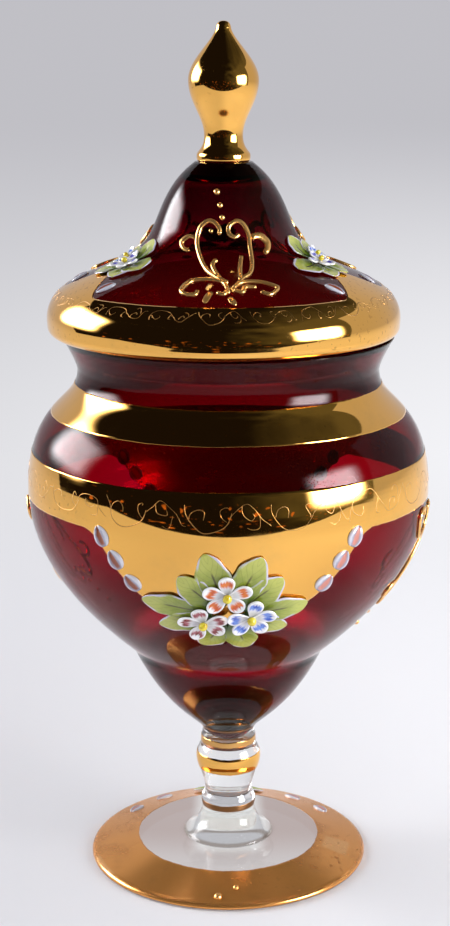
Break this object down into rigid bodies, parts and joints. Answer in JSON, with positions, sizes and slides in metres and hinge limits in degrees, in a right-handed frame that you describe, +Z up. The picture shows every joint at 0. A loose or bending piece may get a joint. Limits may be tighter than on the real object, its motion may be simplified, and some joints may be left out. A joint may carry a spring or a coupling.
{
  "type": "covered candy dish",
  "caption": "Footed glass candy dish with a lift-off domed lid, turned stem, drop finial, gold bands and raised enamel flowers and scrolls.",
  "frame": {"origin": "on the dish's axis, in the plane of the table under its foot", "axes": "+Z up the axis of the stem and bowl, -Y to the side with the large flower group"},
  "size_m": [0.1336, 0.1334, 0.28],
  "materials": {
    "ruby_glass": "blown ruby glass, polished, with fired gold bands",
    "clear_glass": "clear pressed and turned glass, with fired gold on the foot and knop",
    "gilded_glass": "glass gilded all over, polished",
    "raised_gold": "raised enamel paste, gilded and polished",
    "leaf_enamel": "glossy fired enamel in shaded greens",
    "flower_enamel": "glossy fired enamel, white with tinted petals and yellow beads"
  },
  "bodies": {
    "dish": {"foot": "clear_glass", "lower_merese": "clear_glass", "stem_knop": "clear_glass", "upper_merese": "clear_glass", "bowl_shell": "ruby_glass", "bowl_leaves_front": "leaf_enamel", "bowl_leaves_back": "leaf_enamel", "bowl_flower_front_top": "flower_enamel", "bowl_flower_front_left": "flower_enamel", "bowl_flower_front_right": "flower_enamel", "bowl_flower_back_top": "flower_enamel", "bowl_flower_back_left": "flower_enamel", "bowl_flower_back_right": "flower_enamel", "bowl_petal_front_left_1": "flower_enamel", "bowl_petal_front_left_2": "flower_enamel", "bowl_petal_front_left_3": "flower_enamel", "bowl_petal_front_right_1": "flower_enamel", "bowl_petal_front_right_2": "flower_enamel", "bowl_petal_front_right_3": "flower_enamel", "bowl_petal_back_left_1": "flower_enamel", "bowl_petal_back_left_2": "flower_enamel", "bowl_petal_back_left_3": "flower_enamel", "bowl_petal_back_right_1": "flower_enamel", "bowl_petal_back_right_2": "flower_enamel", "bowl_petal_back_right_3": "flower_enamel", "bowl_scroll_right": "raised_gold", "bowl_scroll_left": "raised_gold", "foot_leaves": "leaf_enamel", "foot_flower": "flower_enamel", "foot_petal_1": "flower_enamel", "foot_petal_2": "flower_enamel", "foot_petal_3": "flower_enamel", "foot_petal_4": "flower_enamel"},
    "lid": {"lid_shell": "ruby_glass", "finial": "gilded_glass", "lid_leaves_right": "leaf_enamel", "lid_leaves_left": "leaf_enamel", "lid_leaves_back": "leaf_enamel", "lid_flower_right_1": "flower_enamel", "lid_flower_right_2": "flower_enamel", "lid_flower_left_1": "flower_enamel", "lid_flower_left_2": "flower_enamel", "lid_flower_back_1": "flower_enamel", "lid_flower_back_2": "flower_enamel", "lid_petal_right_1": "flower_enamel", "lid_petal_right_2": "flower_enamel", "lid_petal_left_1": "flower_enamel", "lid_petal_left_2": "flower_enamel", "lid_petal_back_1": "flower_enamel", "lid_petal_back_2": "flower_enamel", "lid_scroll_front": "raised_gold", "lid_scroll_back_right": "raised_gold", "lid_scroll_back_left": "raised_gold"}
  },
  "joints": [
    {"name": "lid_lift", "type": "slide", "parent": "dish", "child": "lid", "axis": [0, 0, 1], "range_m": [0, 0.12]}
  ]
}
